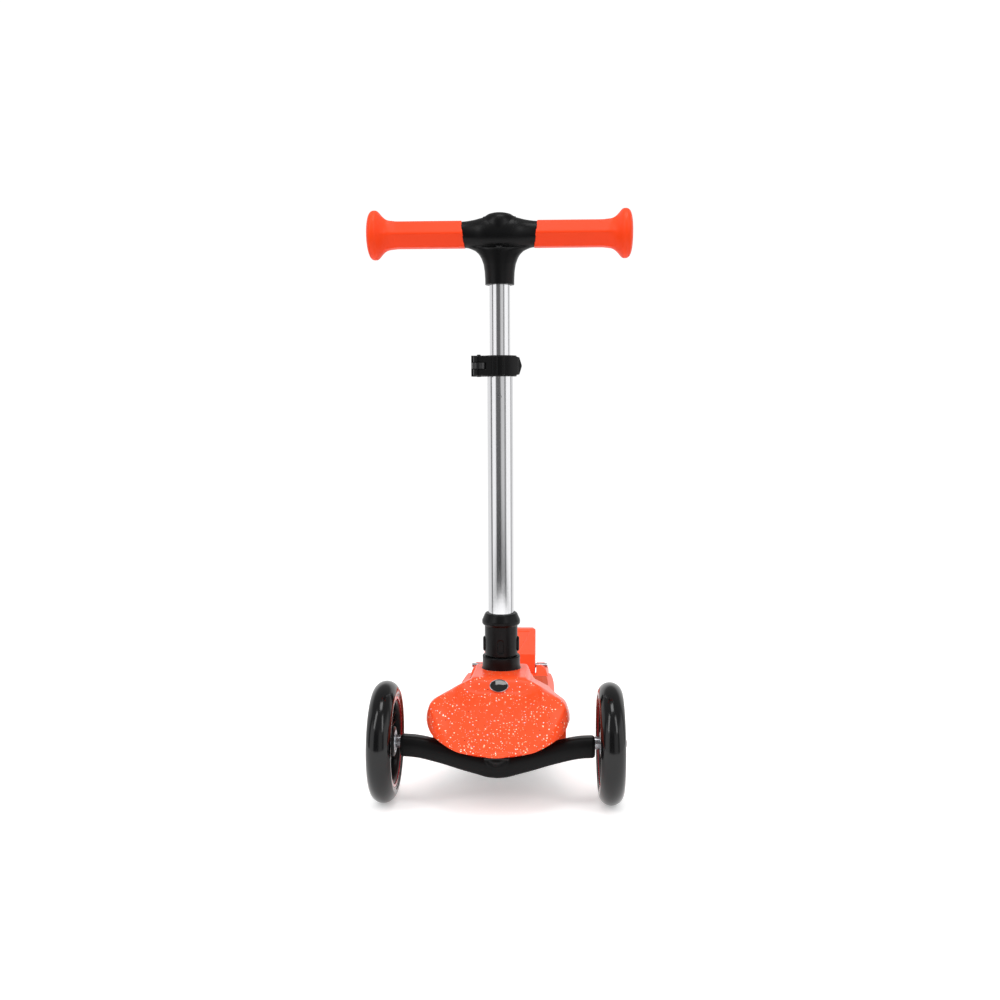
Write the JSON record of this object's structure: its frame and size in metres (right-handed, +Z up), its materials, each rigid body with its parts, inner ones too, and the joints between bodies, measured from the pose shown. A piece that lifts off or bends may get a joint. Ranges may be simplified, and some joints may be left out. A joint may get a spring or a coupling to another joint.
{
  "type": "kick scooter",
  "caption": "Child's lean-to-steer kick scooter: front wheels on a V-shaped beam, glitter hood, deck, telescopic stem with T-bar and grips, rear wheel with mudguard brake.",
  "frame": {"origin": "on the floor, under the middle of the bounding box at rest", "axes": "+Z up, the scooter faces -Y, X runs across it along the handlebar"},
  "size_m": [0.2776, 0.56, 0.6055],
  "materials": {
    "orange_abs": "satin moulded",
    "orange_glitter": "satin moulded with glitter flakes",
    "orange_rubber": "semi-gloss moulded",
    "black_nylon": "satin moulded",
    "black_beam": "satin moulded",
    "mat_rubber": "ribbed, moulded in colour",
    "stem_aluminium": "polished and anodised",
    "cast_aluminium": "black powder coat",
    "zinc_steel": "zinc plated",
    "spring_steel": "drawn wire",
    "black_steel": "black oxide",
    "black_urethane": "gloss cast",
    "clear_rubber": "moulded",
    "red_ring": "gloss",
    "plaque_metal": "polished rim, dark enamel",
    "pin_nylon": "moulded"
  },
  "bodies": {
    "deck": {"deck_shell": "orange_abs", "deck_tray": "black_nylon", "deck_screws": "zinc_steel", "grip_mat": "mat_rubber", "hood_cover": "orange_glitter", "nose_plaque": "plaque_metal", "steer_casting": "cast_aluminium", "steer_bolt": "zinc_steel", "steer_nut": "zinc_steel", "steer_bumper_left": "clear_rubber", "steer_bumper_right": "clear_rubber", "stem_collar": "black_nylon", "stem_spigot": "zinc_steel", "rear_axle": "zinc_steel", "rear_axle_nut": "zinc_steel", "rear_spacers": "zinc_steel", "brake_pin": "zinc_steel", "brake_spring": "spring_steel"},
    "front_axle": {"axle_beam": "black_beam", "steer_bushes": "clear_rubber", "wheel_bolts": "zinc_steel", "wheel_washers": "zinc_steel", "cap_nuts": "black_steel"},
    "front_wheel_left": {"tyre_front_left": "black_urethane", "ring_front_left": "red_ring", "hub_front_left": "black_nylon", "bearings_front_left": "zinc_steel", "spacer_front_left": "zinc_steel"},
    "front_wheel_right": {"tyre_front_right": "black_urethane", "ring_front_right": "red_ring", "hub_front_right": "black_nylon", "bearings_front_right": "zinc_steel", "spacer_front_right": "zinc_steel"},
    "rear_wheel": {"tyre_rear": "black_urethane", "hub_rear": "black_nylon", "bearings_rear": "zinc_steel", "spacer_rear": "zinc_steel"},
    "brake": {"brake_fender": "orange_abs", "brake_inlay": "orange_abs", "brake_plate": "zinc_steel"},
    "stem": {"socket_housing": "black_nylon", "button_spring": "spring_steel", "outer_tube": "stem_aluminium", "tube_liner": "pin_nylon", "clamp_collar": "black_nylon", "clamp_bolt": "black_steel", "clamp_nut": "black_steel", "lever_pin": "black_steel"},
    "button_left": {"button_left": "black_nylon"},
    "button_right": {"button_right": "black_nylon"},
    "clamp_lever": {"clamp_lever": "black_nylon"},
    "handlebar": {"inner_tube": "stem_aluminium", "tube_plug": "pin_nylon", "tee_joint": "black_nylon", "tee_panel": "black_nylon", "handlebar_core": "zinc_steel", "grip_left": "orange_rubber", "grip_right": "orange_rubber"}
  },
  "joints": [
    {"name": "lean_steer", "type": "hinge", "parent": "deck", "child": "front_axle", "pos_m": [0, -0.226, 0.047], "axis": [0, -0.8192, 0.5736], "range_deg": [-10, 10], "stiffness_Nm_per_rad": 40},
    {"name": "front_left_spin", "type": "hinge", "parent": "front_axle", "child": "front_wheel_left", "pos_m": [-0.1123, -0.22, 0.06], "axis": [1, 0, 0], "continuous": true},
    {"name": "front_right_spin", "type": "hinge", "parent": "front_axle", "child": "front_wheel_right", "pos_m": [0.1123, -0.22, 0.06], "axis": [1, 0, 0], "continuous": true},
    {"name": "rear_spin", "type": "hinge", "parent": "deck", "child": "rear_wheel", "pos_m": [0, 0.225, 0.04], "axis": [1, 0, 0], "continuous": true},
    {"name": "brake_press", "type": "hinge", "parent": "deck", "child": "brake", "pos_m": [0, 0.18, 0.074], "axis": [-1, 0, 0], "range_deg": [0, 4.3], "stiffness_Nm_per_rad": 8, "springref_deg": -4.58},
    {"name": "stem_release", "type": "slide", "parent": "deck", "child": "stem", "axis": [0, -0.1045, 0.9945], "range_m": [0, 0.09]},
    {"name": "height_slide", "type": "slide", "parent": "stem", "child": "handlebar", "axis": [0, -0.1045, 0.9945], "range_m": [-0.065, 0.15]},
    {"name": "button_left_press", "type": "slide", "parent": "stem", "child": "button_left", "axis": [1, 0, 0], "range_m": [0, 0.0018], "stiffness_N_per_m": 1500, "springref_m": -0.001},
    {"name": "button_right_press", "type": "slide", "parent": "stem", "child": "button_right", "axis": [-1, 0, 0], "range_m": [0, 0.0018], "stiffness_N_per_m": 1500, "springref_m": -0.001},
    {"name": "clamp_lever_open", "type": "hinge", "parent": "stem", "child": "clamp_lever", "pos_m": [-0.0215, -0.17374, 0.44217], "axis": [0, 0.1045, -0.9945], "range_deg": [0, 140]}
  ]
}
